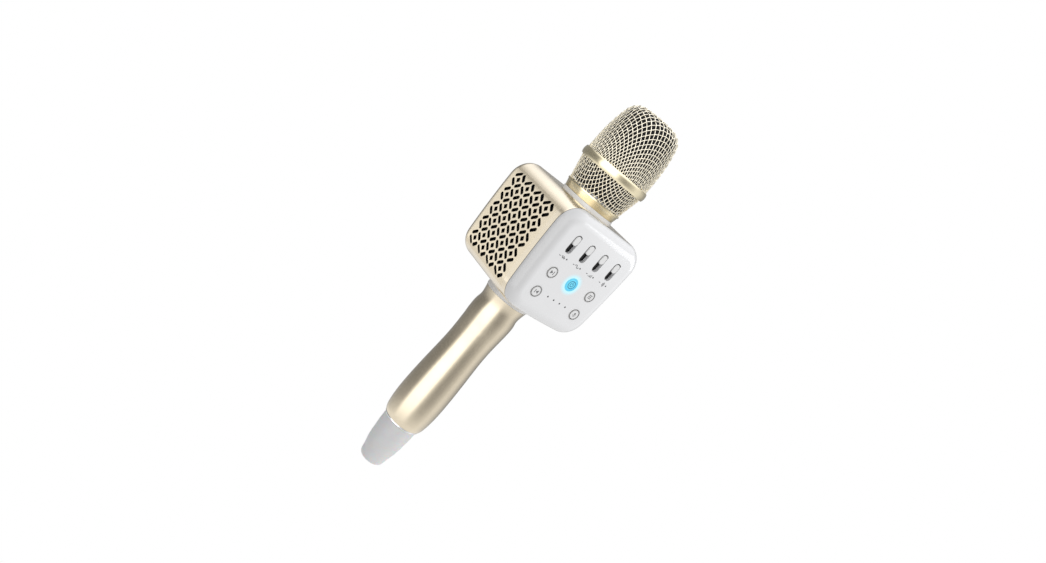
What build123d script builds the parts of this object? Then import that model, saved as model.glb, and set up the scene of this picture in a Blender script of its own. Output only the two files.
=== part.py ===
from build123d import *
import math
import os

# Karaoke microphone with a speaker box in the middle: a round grip below, a ball-type
# mesh head above, and a slider and button panel on the front of the box.
#
# Frame, in millimetres: Z runs up the microphone from the tail to the head, with zero at
# the tail's end. The control panel faces -Y, the sockets face +Y, and the two speakers
# fire to -X and +X.

# ---- driving dimensions -------------------------------------------------------------

TOTAL_LENGTH = 295.0

# speaker box
BOX_BOTTOM = 151.9
BOX_TOP = 224.6
BOX_HALF_WIDTH = 36.8         # half of the width at mid height, without the crown
BOX_HALF_DEPTH = 36.3
BOX_TAPER = 3.5               # each side leans outwards by this angle, in degrees
SIDE_CROWN = 1.2              # how far each side bulges at mid height
BOTTOM_CROWN = 1.0
BOX_CORNER = 14.5             # corner radius seen from the front
FRONT_EDGE = 8.1              # rounding of the front panel's rim
BACK_EDGE = 6.9
WALL = 2.4
SEAM_Y = -29.4                # where the white panel meets the gold shell
COVER_Y = 31.2                # where the gold shell meets the back cover

# grip and tail
TAIL_TOP = 34.6
TRIM_TOP = 36.2
GRIP_TOP = 145.8
GRIP_BORE = 12.6
GRIP_CROWN = 16.3             # radius of the flare at the top of the grip

# battery, one 18650 cell
CELL_RADIUS = 9.15
CELL_LENGTH = 65.0
CELL_BASE = 50.0

# sound
SPEAKER_Y = 2.5               # centre of each side grille
SPEAKER_Z = 186.8
CONE_RADIUS = 19.0
FRAME_OPENING = 22.5
MAGNET_RADIUS = 15.0

# grille pattern
UNIT_Y = 12.55
UNIT_Z = 11.54
COLUMNS = 4
ROWS = 5
HOLE_SIDE = 2.9
SLOT_LENGTH = 5.9
SLOT_WIDTH = 2.3
SLOT_LEAN = 39                # angle between a slot and the box's depth, in degrees

# front controls
SLIDER_X = [-20.76, -6.92, 6.92, 20.76]
SLIDER_Z = 204.3
SLIDER_SLOT_LENGTH = 13.0
SLIDER_SLOT_WIDTH = 5.0
KNOB_LENGTH = 6.5
KNOB_WIDTH = 4.2
POWER_Z = 183.4
POWER_RADIUS = 3.6
LIGHT_RING_OUTER = 4.7
BUTTON_X = 19.5
BUTTON_ROWS = {"upper": 183.4, "lower": 168.4}
BUTTON_RADIUS = 3.25
INDICATOR_X = [-8.79, -2.93, 2.93, 8.79]
INDICATOR_Z = 169.3
BUTTON_TRAVEL = 0.6

# head
COLLAR_TOP = 227.0
LOWER_RING_TOP = 232.4
BAND_BOTTOM = 248.8
BAND_TOP = 254.6
MESH_THICKNESS = 1.0
CAPSULE_TOP = 262.0
CAPSULE_RADIUS = 10.5

GAP = 0.3                     # clearance between pieces that move past each other

SIDES = {"left": -1, "right": 1}
MIDDLE_Z = (BOX_BOTTOM + BOX_TOP) / 2
FRONT_Y = -BOX_HALF_DEPTH
PANEL_INNER_Y = FRONT_Y + WALL

os.makedirs("parts", exist_ok=True)


# ---- helpers ------------------------------------------------------------------------

def disc(radius, low, high):
    """Cylinder about Z between two heights."""
    return Pos(0, 0, (low + high) / 2) * Cylinder(radius, high - low)


def ring(inner, outer, low, high):
    """Straight tube about Z between two heights."""
    return disc(outer, low, high) - disc(inner, low - 1, high + 1)


def block(x, y, z):
    """Box given by its two corners along each axis."""
    centre = Pos(sum(x) / 2, sum(y) / 2, sum(z) / 2)
    return centre * Box(x[1] - x[0], y[1] - y[0], z[1] - z[0])


def lathe(*edges):
    """Solid of revolution about Z; the edges are drawn as (radius, height)."""
    return revolve(Plane.XZ * make_face(Curve() + list(edges)), Axis.Z, 360)


def rod_y(radius, x, z, front, back):
    """Cylinder that runs front to back."""
    return Pos(x, (front + back) / 2, z) * Rot(90, 0, 0) * Cylinder(radius, back - front)


def ring_y(inner, outer, x, z, front, back):
    """Tube that runs front to back."""
    return rod_y(outer, x, z, front, back) - rod_y(inner, x, z, front - 1, back + 1)


def half_width(z):
    """Half of the box's width at a height."""
    return BOX_HALF_WIDTH + (z - MIDDLE_Z) * math.tan(math.radians(BOX_TAPER))


def box_outline(inset):
    """Front view of the box, wider at the top, drawn in from its outer face."""
    low = half_width(BOX_BOTTOM)
    high = half_width(BOX_TOP)
    bulge = half_width(MIDDLE_Z) + SIDE_CROWN
    outline = make_face(Curve() + [
        ThreePointArc((-low, BOX_BOTTOM), (0, BOX_BOTTOM - BOTTOM_CROWN), (low, BOX_BOTTOM)),
        ThreePointArc((low, BOX_BOTTOM), (bulge, MIDDLE_Z), (high, BOX_TOP)),
        Line((high, BOX_TOP), (-high, BOX_TOP)),
        ThreePointArc((-high, BOX_TOP), (-bulge, MIDDLE_Z), (-low, BOX_BOTTOM)),
    ])
    outline = fillet(outline.vertices(), BOX_CORNER)
    return offset(outline, -inset) if inset else outline


def box_slab(inset, front, back):
    """The box's outline as a slab between two Y values."""
    return extrude(Plane.XZ.offset(-back) * box_outline(inset), back - front)


def box_solid(inset):
    """Whole box with rounded front and back rims, drawn in from its outer face."""
    front = FRONT_Y + inset
    back = BOX_HALF_DEPTH - inset
    body = box_slab(inset, front, back)
    body = fillet(body.faces().sort_by(Axis.Y)[0].edges(), FRONT_EDGE - inset)
    return fillet(body.faces().sort_by(Axis.Y)[-1].edges(), BACK_EDGE - inset)


def side_plane(sign):
    """Plane through a side's upper and lower edges, centred on its grille, facing outwards."""
    tilt = math.radians(BOX_TAPER)
    normal = (sign * math.cos(tilt), 0, -math.sin(tilt))
    return Plane((sign * half_width(SPEAKER_Z), SPEAKER_Y, SPEAKER_Z), (0, sign, 0), normal)


def save(solid, node):
    """Write one node as a STEP file."""
    solid.label = node
    export_step(solid, f"parts/{node}.step")


def group(solids):
    """Several separate solids that share one node."""
    return Compound(children=list(solids))


# ---- tail, grip and battery ---------------------------------------------------------

def tail_cap():
    """Frosted end cap with a threaded spigot that goes up into the grip."""
    skin = Spline(
        (6.0, 0), (9.4, 4.9), (11.0, 12.0), (12.2, 23.0), (12.85, TAIL_TOP),
        tangents=[(1, 0), (0.03, 1)],
    )
    spigot = GRIP_BORE - 0.1
    spigot_top = TAIL_TOP + 9
    body = lathe(
        Line((0, 0), (6.0, 0)), skin, Line((12.85, TAIL_TOP), (spigot - 0.3, TAIL_TOP)),
        Line((spigot - 0.3, TAIL_TOP), (spigot - 0.3, spigot_top)),
        Line((spigot - 0.3, spigot_top), (0, spigot_top)), Line((0, spigot_top), (0, 0)),
    )
    hollow = Pos(0, 0, 4) * Cone(6.5, 9.2, 12, align=(Align.CENTER, Align.CENTER, Align.MIN))
    return body - hollow - disc(9.2, 16, spigot_top + 1)


def tail_trim_ring():
    """Thin bright ring in the gap between the cap and the grip."""
    trim = ring(GRIP_BORE, 13.7, TAIL_TOP + 0.3, TRIM_TOP)
    return fillet(trim.edges().filter_by(GeomType.CIRCLE).group_by(SortBy.RADIUS)[-1], 0.5)


def handle_tube():
    """Gold grip: waisted below the box, fuller in the palm, flared at both ends."""
    skin = Spline(
        (14.4, TRIM_TOP + 0.5), (15.75, 42.4), (16.6, 60.0), (15.6, 87.0),
        (15.05, 113.0), (15.6, 134.0), (GRIP_CROWN, GRIP_TOP),
        tangents=[(0.45, 1), (0.25, 1)],
    )
    return lathe(
        Line((GRIP_BORE, TRIM_TOP), (13.9, TRIM_TOP)),
        Line((13.9, TRIM_TOP), (14.4, TRIM_TOP + 0.5)), skin,
        Line((GRIP_CROWN, GRIP_TOP), (GRIP_BORE, GRIP_TOP)),
        Line((GRIP_BORE, GRIP_TOP), (GRIP_BORE, TRIM_TOP)),
    )


def battery_cell():
    """Rechargeable cell with its raised positive cap."""
    top = CELL_BASE + CELL_LENGTH
    can = disc(CELL_RADIUS, CELL_BASE, top - 1.2)
    can = fillet(can.edges(), 0.8)
    return can + disc(3.0, top - 1.3, top)


def battery_sleeve():
    """Plastic sleeve that centres the cell in the grip, closed at its lower end."""
    sleeve = disc(12.4, CELL_BASE - 4, CELL_BASE + CELL_LENGTH + 1.5)
    return sleeve - disc(CELL_RADIUS + 0.15, CELL_BASE - 1.2, CELL_BASE + CELL_LENGTH + 3)


def battery_contacts():
    """Negative plate under the cell and positive cap plate above it."""
    top = CELL_BASE + CELL_LENGTH
    negative = disc(8.0, CELL_BASE - 1.0, CELL_BASE - 0.4) + disc(3.5, CELL_BASE - 0.5, CELL_BASE)
    positive = disc(5.0, top, top + 0.8)
    return group([negative, positive])


def lower_collar(outer_box):
    """White ring between the grip and the box."""
    collar = ring(GRIP_BORE, 16.6, GRIP_TOP, BOX_BOTTOM)
    rims = collar.edges().filter_by(GeomType.CIRCLE).group_by(SortBy.RADIUS)[-1]
    collar = fillet(rims.group_by(Axis.Z)[0], 0.6)
    return collar - outer_box - at_screw_circle(disc(1.0, GRIP_TOP + 0.6, BOX_BOTTOM + 1))


def at_screw_circle(solid):
    """Four copies of a solid on the grip flange's screw circle."""
    return [Rot(0, 0, 45 + 90 * i) * Pos(14.8, 0, 0) * solid for i in range(4)]


FLANGE_LOW = BOX_BOTTOM + WALL - 0.6
FLANGE_HIGH = FLANGE_LOW + 2.0


def handle_mount_tube():
    """Aluminium tube inside the grip, with the flange that bolts it to the box."""
    tube = disc(GRIP_BORE - 0.1, 122, FLANGE_HIGH) + disc(19.5, FLANGE_LOW, FLANGE_HIGH)
    tube -= disc(10.2, 121, FLANGE_HIGH + 1)
    return tube - at_screw_circle(disc(1.2, FLANGE_LOW - 1, FLANGE_HIGH + 1))


def chassis_screws():
    """Screws that hold the grip flange, and screws that hold the neck collar."""
    lower = disc(2.0, FLANGE_HIGH, FLANGE_HIGH + 1.4) + disc(0.95, GRIP_TOP + 1.6, FLANGE_HIGH + 0.1)
    ceiling = BOX_TOP - WALL
    upper = disc(2.0, ceiling - 1.4, ceiling) + disc(0.95, ceiling - 0.1, COLLAR_TOP + 1.0)
    return group(at_screw_circle(lower) + at_screw_circle(upper))


# ---- speaker box --------------------------------------------------------------------

def grille_cut(sign):
    """Every opening of one side's grille: square holes, each ringed by four slots."""
    half_y = UNIT_Y / 2
    half_z = UNIT_Z / 2
    hole = Rot(0, 0, SLOT_LEAN) * Box(HOLE_SIDE, HOLE_SIDE, 6 * WALL)
    hole = fillet(hole.edges().filter_by(Axis.Z), 0.5)
    slot = extrude(SlotOverall(SLOT_LENGTH, SLOT_WIDTH), 3 * WALL, both=True)
    cuts = []
    for column in range(COLUMNS):
        for row in range(ROWS):
            x = (column - (COLUMNS - 1) / 2) * UNIT_Y
            y = (row - (ROWS - 1) / 2) * UNIT_Z
            cuts.append(Pos(x, y, 0) * hole)
            for across in (-1, 1):
                for up in (-1, 1):
                    centre = Pos(x + across * half_y / 2, y + up * half_z / 2, 0)
                    cuts.append(centre * Rot(0, 0, -across * up * SLOT_LEAN) * slot)
    for column in range(COLUMNS - 1):
        for row in range(ROWS - 1):
            x = (column - (COLUMNS - 2) / 2) * UNIT_Y
            y = (row - (ROWS - 2) / 2) * UNIT_Z
            cuts.append(Pos(x, y, 0) * hole)
    return [side_plane(sign) * cut for cut in cuts]


GRILLE_HALF_Y = 27.4
GRILLE_HALF_Z = 30.0
SPEAKER_SCREW_Y = 2 * UNIT_Y  # in the blank spots beside the pattern's outer slots
SPEAKER_SCREW_Z = 1.5 * UNIT_Z
CLOTH_BACK = -WALL - 0.6      # depths below the side's plane
FLANGE_BACK = CLOTH_BACK - 1.5


def grille_window(sign):
    """The stretch of side wall that the grille insert fills."""
    return side_plane(sign) * Box(2 * GRILLE_HALF_Y, 2 * GRILLE_HALF_Z, 8 * WALL)


def at_speaker_screws(solid):
    """Four copies of a solid, in the side's own plane, at the speaker's fixings."""
    return [
        Pos(across * SPEAKER_SCREW_Y, up * SPEAKER_SCREW_Z, 0) * solid
        for across in (-1, 1) for up in (-1, 1)
    ]


def side_grille(sign, hollow_box):
    """Gold insert with the pierced pattern, and a boss behind each corner."""
    boss = disc(2.1, CLOTH_BACK, -0.5 * WALL)
    pilot = disc(0.85, CLOTH_BACK - 1, -0.4)
    insert = hollow_box & grille_window(sign)
    insert -= grille_cut(sign)
    insert += [side_plane(sign) * placed for placed in at_speaker_screws(boss)]
    return insert - [side_plane(sign) * placed for placed in at_speaker_screws(pilot)]


def grille_cloth(sign, lining):
    """Black acoustic cloth glued behind the pierced insert."""
    patch = Box(2 * GRILLE_HALF_Y - 1, 2 * GRILLE_HALF_Z - 1, 8 * WALL)
    patch -= at_speaker_screws(disc(2.4, -20, 20))
    return lining & (side_plane(sign) * patch)


PORT_Z = 163.0
JACK_X = [-14.0, 14.0]
JACK_BORE = 1.8
CHARGE_HALF_WIDTH = 4.5
CHARGE_HALF_HEIGHT = 1.65


def body_shell(hollow_box):
    """Gold shell: sides, top and bottom in one piece, open at the front and back."""
    shell = hollow_box & block((-60, 60), (SEAM_Y, COVER_Y), (100, 260))
    shell -= [grille_window(sign) for sign in SIDES.values()]
    shell -= disc(GRIP_BORE, BOX_BOTTOM - 3, BOX_BOTTOM + WALL + 2)
    shell -= disc(11.0, BOX_TOP - WALL - 2, BOX_TOP + 2)
    shell -= at_screw_circle(disc(1.2, BOX_BOTTOM - 3, BOX_BOTTOM + WALL + 1))
    return shell - at_screw_circle(disc(1.2, BOX_TOP - WALL - 1, BOX_TOP + 1))


def back_cover(hollow_box):
    """Gold cover with rounded rims and the socket openings, bonded onto the shell."""
    cover = hollow_box & block((-60, 60), (COVER_Y, 60), (100, 260))
    back = (BOX_HALF_DEPTH - 2 * WALL, BOX_HALF_DEPTH + 1)
    cover -= [rod_y(3.1, x, PORT_Z, *back) for x in JACK_X]
    charge = block(
        (-CHARGE_HALF_WIDTH - 0.2, CHARGE_HALF_WIDTH + 0.2), back,
        (PORT_Z - CHARGE_HALF_HEIGHT - 0.2, PORT_Z + CHARGE_HALF_HEIGHT + 0.2),
    )
    return cover - fillet(charge.edges().filter_by(Axis.Y), 1.4)


POST_X = 27.6
POST_Z = [163.0, 213.0]
BOARD_FRONT = -28.4
BOARD_BACK = -26.8


def at_posts(front, back, radius):
    """Rods at the four places where the control board is screwed down."""
    return [rod_y(radius, side * POST_X, z, front, back) for side in (-1, 1) for z in POST_Z]


def front_panel(hollow_box, outer_box):
    """White pillow-shaped panel that wraps the box's front rim."""
    panel = hollow_box & block((-60, 60), (-60, SEAM_Y), (100, 260))
    tongue = box_slab(WALL + 0.1, SEAM_Y - 1, SEAM_Y + 2.6)
    tongue -= box_slab(WALL + 1.2, SEAM_Y - 2, SEAM_Y + 3)
    reach = box_slab(WALL - 0.1, SEAM_Y - 1, SEAM_Y) - box_slab(WALL + 1.2, SEAM_Y - 2, SEAM_Y + 1)
    panel += [tongue, reach & outer_box]
    posts = [post & outer_box for post in at_posts(FRONT_Y + 0.8, BOARD_FRONT, 2.2)]
    panel += posts
    panel -= at_posts(PANEL_INNER_Y, BOARD_FRONT + 1, 0.8)
    slot = SlotOverall(SLIDER_SLOT_LENGTH, SLIDER_SLOT_WIDTH, rotation=90)
    through = extrude(Plane.XZ.offset(-FRONT_Y - 2 * WALL) * slot, 4 * WALL)
    panel -= [Pos(x, 0, SLIDER_Z) * through for x in SLIDER_X]
    depth = (FRONT_Y - 1, PANEL_INNER_Y + 1)
    panel -= rod_y(LIGHT_RING_OUTER + 0.05, 0, POWER_Z, *depth)
    panel -= [
        rod_y(BUTTON_RADIUS + GAP, side * BUTTON_X, z, *depth)
        for side in (-1, 1) for z in BUTTON_ROWS.values()
    ]
    panel -= [rod_y(0.6, x, INDICATOR_Z, *depth) for x in INDICATOR_X]
    return panel


# ---- front controls -----------------------------------------------------------------

POT_FRONT = -33.2
KNOB_FACE = FRONT_Y - 0.3
KNOB_Z = SLIDER_Z + (SLIDER_SLOT_LENGTH - KNOB_LENGTH) / 2 - GAP
SLIDER_TRAVEL = SLIDER_SLOT_LENGTH - KNOB_LENGTH - 2 * GAP


def slider_knob(x):
    """Knob with a finger ridge, and the lever that reaches into its potentiometer."""
    face = SlotOverall(KNOB_LENGTH, KNOB_WIDTH, rotation=90)
    cap = extrude(Plane.XZ.offset(-PANEL_INNER_Y) * face, PANEL_INNER_Y - KNOB_FACE)
    cap = fillet(cap.faces().sort_by(Axis.Y)[0].edges(), 0.5)
    lever = block((-0.5, 0.5), (PANEL_INNER_Y - 0.1, POT_FRONT + 2.5), (-1.6, 1.6))
    return Pos(x, 0, KNOB_Z) * (cap + lever)


def slide_pot(x):
    """Slide potentiometer on the control board, with the slot for the lever."""
    pot = block((-3.4, 3.4), (POT_FRONT, BOARD_FRONT), (-10.5, 10.5))
    pot -= block((-1.0, 1.0), (POT_FRONT - 1, POT_FRONT + 3.2), (-6.0, 6.0))
    return Pos(x, 0, SLIDER_Z) * pot


FLANGE_FRONT_Y = PANEL_INNER_Y + 0.2
BUTTON_BACK_Y = FLANGE_FRONT_Y + 0.8
SWITCH_TOP_Y = BUTTON_BACK_Y + BUTTON_TRAVEL + 0.3


def push_button(x, z, radius):
    """Domed cap with the flange that keeps it behind the panel."""
    cap = rod_y(radius, 0, 0, FRONT_Y - 0.3, FLANGE_FRONT_Y + 0.1)
    cap = fillet(cap.faces().sort_by(Axis.Y)[0].edges(), 0.5)
    flange = rod_y(radius + 0.9, 0, 0, FLANGE_FRONT_Y, BUTTON_BACK_Y)
    return Pos(x, 0, z) * (cap + flange)


def power_light_ring():
    """Clear ring around the power button, lit from behind."""
    return ring_y(POWER_RADIUS + GAP, LIGHT_RING_OUTER, 0, POWER_Z, FRONT_Y - 0.1, PANEL_INNER_Y)


def tact_switch(x, z):
    """Small push switch on the control board, behind its button."""
    body = block((-3, 3), (SWITCH_TOP_Y + 0.6, BOARD_FRONT), (-3, 3))
    return Pos(x, 0, z) * (body + rod_y(1.7, 0, 0, SWITCH_TOP_Y, SWITCH_TOP_Y + 0.7))


def indicator_light_pipe():
    """Clear bar behind the panel with one pin for each battery level light."""
    bar = block((-10.5, 10.5), (PANEL_INNER_Y, PANEL_INNER_Y + 1.5), (-1.4, 1.4))
    pins = [rod_y(0.55, x, 0, FRONT_Y - 0.05, PANEL_INNER_Y + 0.2) for x in INDICATOR_X]
    return Pos(0, 0, INDICATOR_Z) * (bar + pins)


def control_board():
    """Circuit board that carries the sliders and switches."""
    board = block((-30, 30), (BOARD_FRONT, BOARD_BACK), (160, 216))
    board = fillet(board.edges().filter_by(Axis.Y), 5.0)
    return board - at_posts(BOARD_FRONT - 1, BOARD_BACK + 1, 1.1)


def board_components():
    """Processor, radio module, coil and capacitors on the back of the board."""
    back = BOARD_BACK
    processor = block((-5, 5), (back, back + 1.4), (196, 206))
    radio = block((-8, 8), (back, back + 2.0), (177, 190))
    amplifier = block((-4, 4), (back, back + 1.2), (166, 172))
    capacitors = [rod_y(2.5, x, z, back, back + 5.0) for x in (-10, 10) for z in (170, 200)]
    return group([processor, radio, amplifier] + capacitors)


def board_screws():
    """Screws that hold the control board on the panel's posts."""
    heads = at_posts(BOARD_BACK, BOARD_BACK + 1.2, 1.7)
    shanks = at_posts(BOARD_FRONT - 4.5, BOARD_BACK + 0.1, 0.75)
    return group([head + shank for head, shank in zip(heads, shanks)])


# ---- speakers, drawn in the side's plane with +Z outwards -----------------------------

FRAME_BACK = FLANGE_BACK - 10.5
PLATE_BACK = FRAME_BACK - 2.0
CERAMIC_BACK = PLATE_BACK - 5.0
MOTOR_BACK = CERAMIC_BACK - 2.0
COIL_RADIUS = 7.6


def speaker_frame(sign):
    """Pressed frame: mounting plate, tapering basket with windows, and rear ring."""
    middle = Pos(0, 0, (CLOTH_BACK + FLANGE_BACK) / 2)
    plate = middle * Box(55.0, 2 * FRAME_OPENING + 3.0, CLOTH_BACK - FLANGE_BACK)
    plate = fillet(plate.edges().filter_by(Axis.Z), 4.0)
    plate -= at_speaker_screws(disc(1.1, -20, 10))
    upright = (Align.CENTER, Align.CENTER, Align.MIN)
    height = FLANGE_BACK - FRAME_BACK
    basket = Pos(0, 0, FRAME_BACK) * Cone(MAGNET_RADIUS, FRAME_OPENING + 1.5, height, align=upright)
    hollow = Cone(MAGNET_RADIUS - 1.0, FRAME_OPENING, height - 3.0, align=upright)
    basket -= Pos(0, 0, FRAME_BACK + 1.4) * hollow
    basket -= disc(COIL_RADIUS + 2.0, FRAME_BACK - 1, FRAME_BACK + 3)
    window = Pos(18.5, 0, FRAME_BACK + 4.9) * Box(14, 15, 5.0)
    basket -= [Rot(0, 0, 90 * i) * window for i in range(4)]
    frame = (plate + basket) - disc(FRAME_OPENING, FLANGE_BACK - 1.6, 10)
    return side_plane(sign) * frame


def speaker_magnet(sign):
    """Motor: front plate, ceramic ring, back plate and pole piece."""
    motor = disc(MAGNET_RADIUS - 1.5, PLATE_BACK, FRAME_BACK)
    motor += disc(MAGNET_RADIUS, CERAMIC_BACK, PLATE_BACK)
    motor += disc(MAGNET_RADIUS - 1.5, MOTOR_BACK, CERAMIC_BACK)
    motor -= disc(COIL_RADIUS + 1.0, CERAMIC_BACK, FRAME_BACK + 1)
    motor += disc(COIL_RADIUS - 1.2, CERAMIC_BACK - 0.1, FRAME_BACK)
    return side_plane(sign) * motor


def speaker_cone(sign):
    """Paper cone with its dust cap, and the voice coil former that runs in the magnet."""
    rim = FLANGE_BACK - 0.6
    neck = FRAME_BACK + 4.0
    cone = lathe(
        Line((CONE_RADIUS, rim), (CONE_RADIUS, rim - 0.6)),
        Line((CONE_RADIUS, rim - 0.6), (COIL_RADIUS + 0.4, neck - 0.6)),
        Line((COIL_RADIUS + 0.4, neck - 0.6), (COIL_RADIUS + 0.4, PLATE_BACK - 1.0)),
        Line((COIL_RADIUS + 0.4, PLATE_BACK - 1.0), (COIL_RADIUS - 0.2, PLATE_BACK - 1.0)),
        Line((COIL_RADIUS - 0.2, PLATE_BACK - 1.0), (COIL_RADIUS - 0.2, neck + 1.0)),
        TangentArc((0, neck + 3.4), (COIL_RADIUS - 0.2, neck + 1.0), tangent=(1, 0)),
        Line((0, neck + 3.4), (0, neck + 4.0)),
        TangentArc((0, neck + 4.0), (COIL_RADIUS + 1.6, neck + 0.6), tangent=(1, 0)),
        Line((COIL_RADIUS + 1.6, neck + 0.6), (CONE_RADIUS, rim)),
    )
    return side_plane(sign) * cone


def speaker_surround(sign):
    """Rubber half-roll between the cone's rim and the frame."""
    seat = FLANGE_BACK - 0.6
    middle = (CONE_RADIUS + FRAME_OPENING) / 2
    roll = lathe(
        Line((CONE_RADIUS, seat), (CONE_RADIUS, seat - 0.6)),
        ThreePointArc((CONE_RADIUS, seat - 0.6), (middle, seat + 0.9), (FRAME_OPENING, seat - 0.6)),
        Line((FRAME_OPENING, seat - 0.6), (FRAME_OPENING, seat + 0.1)),
        ThreePointArc((FRAME_OPENING, seat + 0.1), (middle, seat + 1.4), (CONE_RADIUS, seat)),
    )
    return side_plane(sign) * roll


def speaker_screws():
    """Screws that clamp each speaker frame to its grille insert."""
    head = disc(1.8, FLANGE_BACK - 1.2, FLANGE_BACK)
    shank = disc(0.8, FLANGE_BACK - 0.1, -0.5)
    return group([
        side_plane(sign) * placed
        for sign in SIDES.values() for placed in at_speaker_screws(head + shank)
    ])


# ---- sockets at the back --------------------------------------------------------------

INNER_BACK_Y = BOX_HALF_DEPTH - WALL
PORT_BOARD_TOP = 160.0


def port_board():
    """Small board on the box's floor that carries the sockets and the charger."""
    board = block((-21, 21), (20.5, INNER_BACK_Y - 0.2), (PORT_BOARD_TOP - 1.6, PORT_BOARD_TOP))
    return fillet(board.edges().filter_by(Axis.Z).sort_by(Axis.Y)[:2], 1.5)


def audio_jack(x):
    """Socket for a 3.5 mm plug, with its nose flush in the back wall."""
    jack = block((-3.2, 3.2), (21.5, INNER_BACK_Y - 0.1), (PORT_BOARD_TOP - PORT_Z, 3.0))
    jack += rod_y(2.9, 0, 0, INNER_BACK_Y - 0.2, BOX_HALF_DEPTH)
    jack -= rod_y(JACK_BORE, 0, 0, BOX_HALF_DEPTH - 14.0, BOX_HALF_DEPTH + 1)
    return Pos(x, 0, PORT_Z) * jack


def charge_socket():
    """Metal charging socket with its contact tongue."""
    half_x = CHARGE_HALF_WIDTH
    half_z = CHARGE_HALF_HEIGHT
    deep = (BOX_HALF_DEPTH - 8.0, BOX_HALF_DEPTH - 0.3)
    shield = fillet(block((-half_x, half_x), deep, (-half_z, half_z)).edges().filter_by(Axis.Y), 1.3)
    mouth = block(
        (-half_x + 0.35, half_x - 0.35), (deep[0] + 0.6, deep[1] + 1), (-half_z + 0.35, half_z - 0.35),
    )
    shield -= fillet(mouth.edges().filter_by(Axis.Y), 1.0)
    tongue = block((-3.3, 3.3), (deep[0] + 0.5, deep[1] - 0.8), (-0.35, 0.35))
    foot = block((-3.0, 3.0), (deep[0], deep[0] + 4.0), (PORT_BOARD_TOP - PORT_Z, -half_z + 0.1))
    return Pos(0, 0, PORT_Z) * (shield + tongue + foot)


# ---- neck, capsule and head -----------------------------------------------------------

SPIGOT_TOP = 235.0
SPIGOT_RADIUS = 16.4
MOUNT_BORE = 7.0


def neck_collar():
    """White collar on top of the box, with the spigot that the head screws on to."""
    collar = fillet(disc(19.7, BOX_TOP, COLLAR_TOP - 0.1).edges().group_by(Axis.Z)[-1], 0.5)
    collar += disc(SPIGOT_RADIUS, BOX_TOP, SPIGOT_TOP)
    collar -= disc(11.0, BOX_TOP - 1, SPIGOT_TOP + 1)
    return collar - at_screw_circle(disc(1.0, BOX_TOP - 1, COLLAR_TOP + 1.5))


def capsule_mount():
    """Rubber cradle that stands in the collar and holds the capsule."""
    mount = disc(10.9, BOX_TOP + 0.5, 240) + disc(12.6, 238, 250)
    mount -= disc(CAPSULE_RADIUS, 244, 251)
    return mount - disc(MOUNT_BORE, BOX_TOP - 1, 245)


def mic_capsule():
    """Dynamic capsule with a domed front screen."""
    body = disc(CAPSULE_RADIUS, 244, CAPSULE_TOP - 1.5)
    body += fillet(disc(CAPSULE_RADIUS - 0.8, 250, CAPSULE_TOP).edges().group_by(Axis.Z)[-1], 1.2)
    groove = ring(CAPSULE_RADIUS - 0.5, CAPSULE_RADIUS + 1, 255.4, 256.4)
    return body - groove


def head_lower_ring():
    """Gold threaded ring at the head's base, wider at its upper lip."""
    return lathe(
        Line((SPIGOT_RADIUS + GAP, COLLAR_TOP), (19.3, COLLAR_TOP)),
        Line((19.3, COLLAR_TOP), (20.3, 231.2)),
        Line((20.3, 231.2), (20.75, 231.4)),
        Line((20.75, 231.4), (20.75, LOWER_RING_TOP)),
        Line((20.75, LOWER_RING_TOP), (19.0, LOWER_RING_TOP)),
        Line((19.0, LOWER_RING_TOP), (SPIGOT_RADIUS + GAP, 230.2)),
        Line((SPIGOT_RADIUS + GAP, 230.2), (SPIGOT_RADIUS + GAP, COLLAR_TOP)),
    )


def lower_grille():
    """Mesh cone that widens from the base ring up to the band."""
    low, high = LOWER_RING_TOP, BAND_BOTTOM
    return lathe(
        Line((19.2, low), (20.2, low)), Line((20.2, low), (23.6, high)),
        Line((23.6, high), (22.6, high)), Line((22.6, high), (19.2, low)),
    )


def head_band():
    """Gold band round the head's widest point, slightly crowned."""
    middle = (BAND_BOTTOM + BAND_TOP) / 2
    crown = ThreePointArc((24.4, BAND_BOTTOM), (25.1, middle), (24.4, BAND_TOP))
    return lathe(
        Line((22.3, BAND_BOTTOM), (24.4, BAND_BOTTOM)), crown,
        Line((24.4, BAND_TOP), (22.3, BAND_TOP)), Line((22.3, BAND_TOP), (22.3, BAND_BOTTOM)),
    )


DOME_TOP = TOTAL_LENGTH
DOME_SHOULDER = 287.4


def dome_skin(inset):
    """The upper mesh's outline, drawn in from its outer face."""
    outer = Spline(
        (23.7 - inset, BAND_TOP), (23.4 - inset, 269.0), (20.4 - inset, DOME_SHOULDER),
        tangents=[(0, 1), (-0.27, 1)],
    )
    crown = Spline(
        (20.4 - inset, DOME_SHOULDER), (15.8 - 0.7 * inset, 293.5 - inset), (0, DOME_TOP - inset),
        tangents=[(-0.27, 1), (-1, 0)],
    )
    return outer, crown


def upper_grille():
    """Mesh dome from the band to the crowned top."""
    skin, crown = dome_skin(0)
    inner_skin, inner_crown = dome_skin(MESH_THICKNESS)
    return lathe(
        skin, crown, Line((0, DOME_TOP), (0, DOME_TOP - MESH_THICKNESS)), inner_crown, inner_skin,
        Line((23.7 - MESH_THICKNESS, BAND_TOP), (23.7, BAND_TOP)),
    )


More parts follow.
